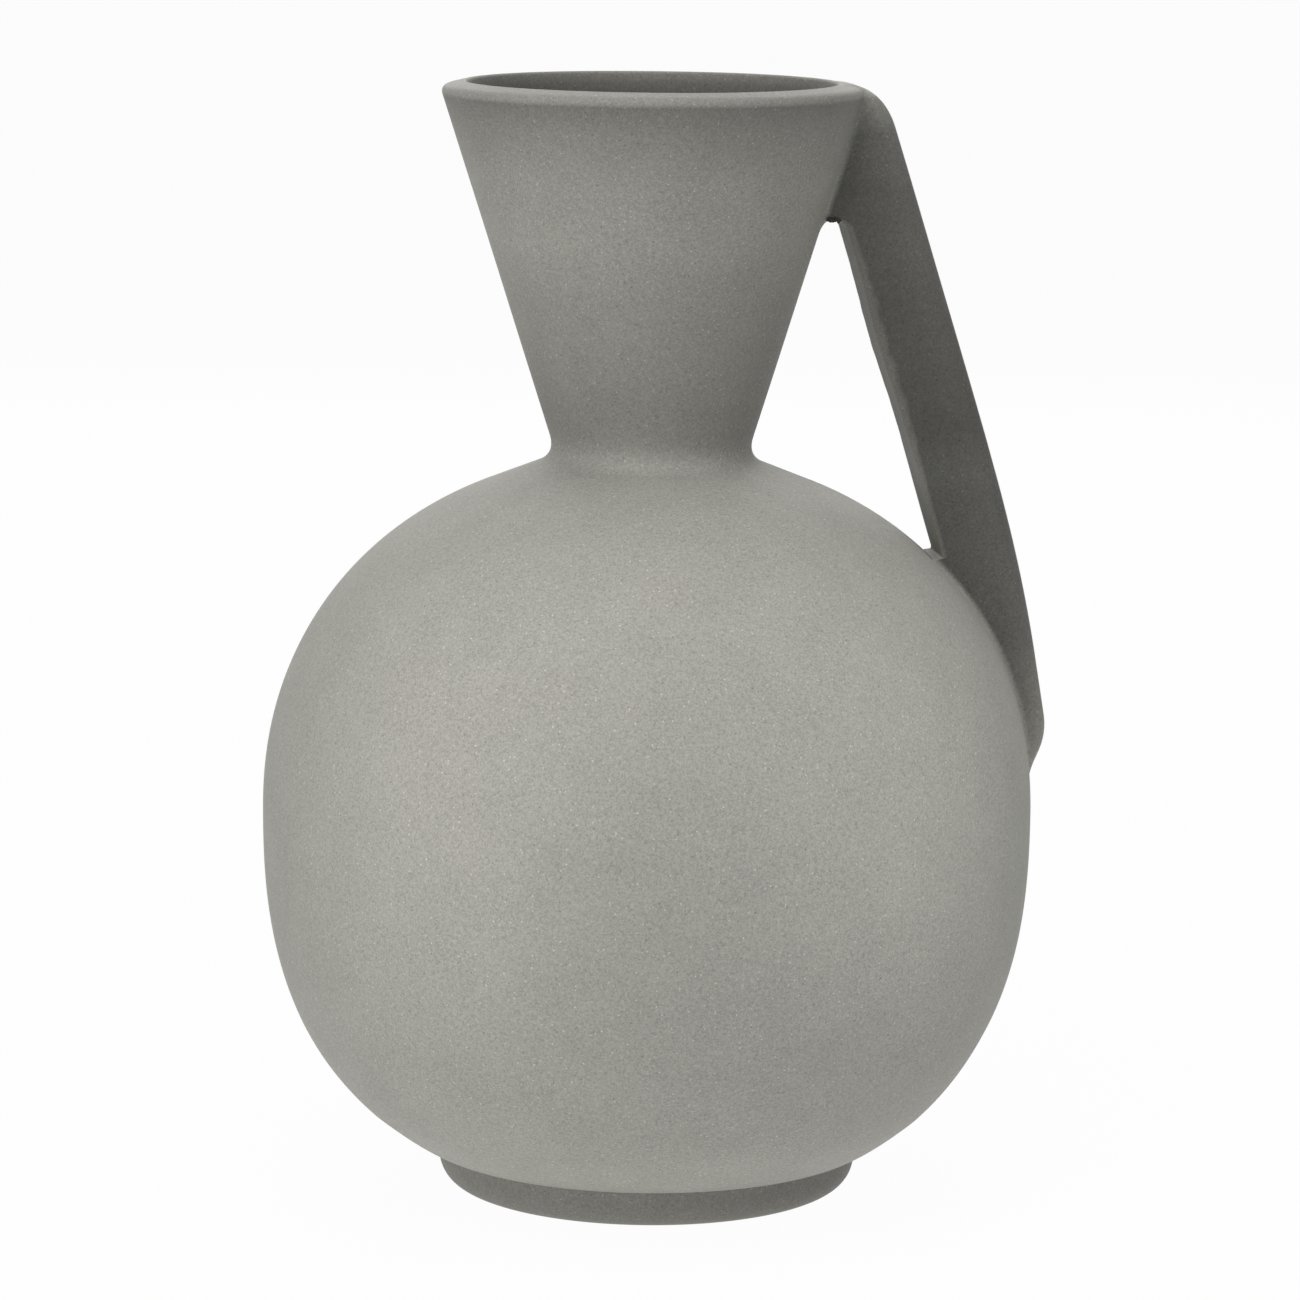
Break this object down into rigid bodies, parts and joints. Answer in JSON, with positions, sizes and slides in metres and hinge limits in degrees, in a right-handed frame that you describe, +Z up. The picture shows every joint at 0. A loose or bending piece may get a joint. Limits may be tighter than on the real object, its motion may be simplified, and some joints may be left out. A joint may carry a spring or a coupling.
{
  "type": "jug vase",
  "caption": "Stoneware vase with a squared globe body on a foot ring, a funnel neck and a square bar handle from the rim to the flank, for flowers or branches.",
  "frame": {"origin": "on the axis of the globe and the neck, in the plane that the foot ring stands on", "axes": "+Z up along the axis towards the mouth, +X towards the handle, whose middle plane is XZ"},
  "size_m": [0.2037, 0.2, 0.2888],
  "materials": {
    "stoneware": "unglazed, matte, sandy grey with a fine light and dark speckle"
  },
  "bodies": {
    "root": {"foot_ring": "stoneware", "lower_bowl": "stoneware", "shoulder_dome": "stoneware", "neck_funnel": "stoneware", "handle": "stoneware"}
  },
  "joints": []
}
